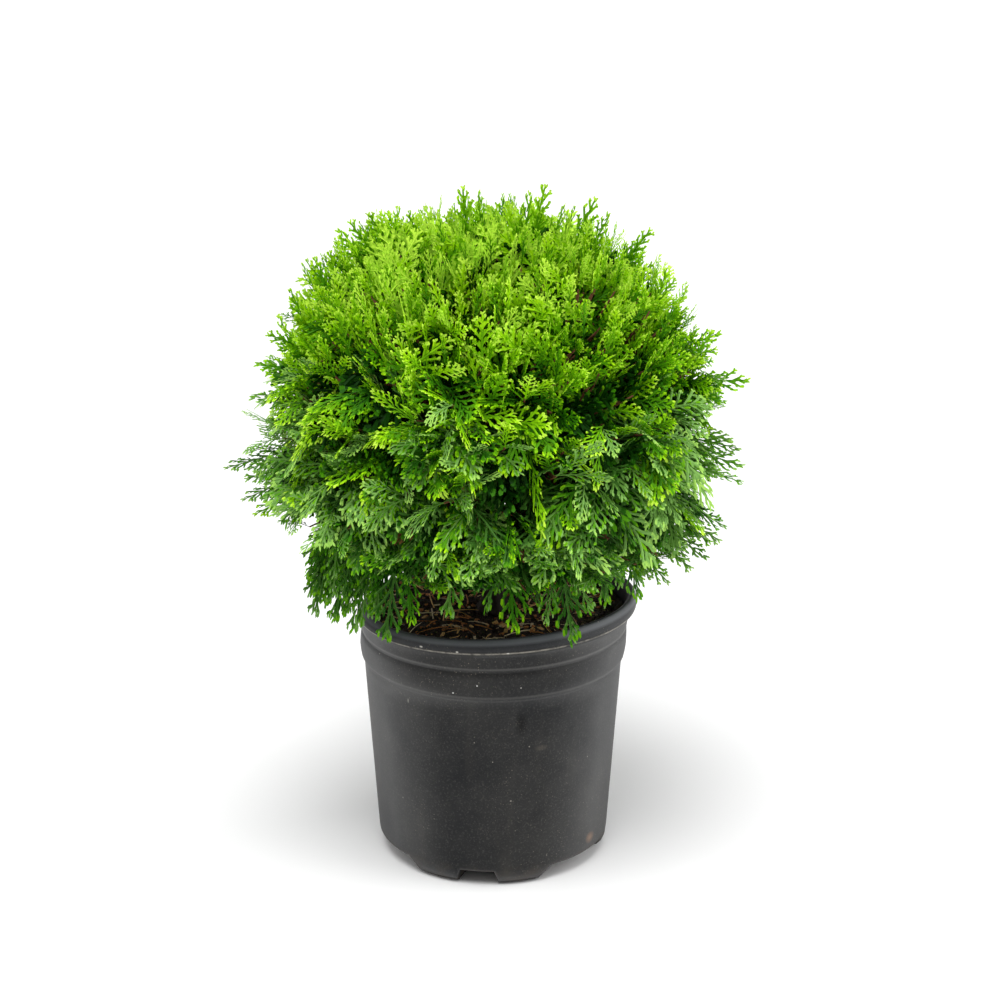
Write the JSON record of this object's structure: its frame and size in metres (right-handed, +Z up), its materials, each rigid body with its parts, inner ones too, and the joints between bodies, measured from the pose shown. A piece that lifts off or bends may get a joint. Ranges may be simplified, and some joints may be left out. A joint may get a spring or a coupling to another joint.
{
  "type": "potted little giant arborvitae",
  "caption": "Dense globe of flat evergreen sprays on a short branching trunk, growing from soil in a round black nursery pot with a rolled lip and a notched foot.",
  "frame": {"origin": "centre of the pot's flat underside, which stands on the ground", "axes": "+Z up along the pot's axis; -Y towards the side that the picture shows; +X to that view's right"},
  "size_m": [0.4992, 0.4983, 0.671],
  "materials": {
    "pot": "satin",
    "soil": "matte",
    "bark": "matte",
    "foliage": "matte"
  },
  "bodies": {
    "root": {"pot": "pot", "soil": "soil", "trunk": "bark", "bough_upper_1": "bark", "bough_upper_2": "bark", "bough_upper_3": "bark", "bough_upper_4": "bark", "bough_upper_5": "bark", "bough_lower_1": "bark", "bough_lower_2": "bark", "bough_lower_3": "bark", "bough_lower_4": "bark", "bough_lower_5": "bark", "bough_lower_6": "bark", "bough_lower_7": "bark", "foliage_top": "foliage", "foliage_upper_1": "foliage", "foliage_upper_2": "foliage", "foliage_upper_3": "foliage", "foliage_upper_4": "foliage", "foliage_upper_5": "foliage", "foliage_lower_1": "foliage", "foliage_lower_2": "foliage", "foliage_lower_3": "foliage", "foliage_lower_4": "foliage", "foliage_lower_5": "foliage", "foliage_lower_6": "foliage", "foliage_lower_7": "foliage"}
  },
  "joints": []
}
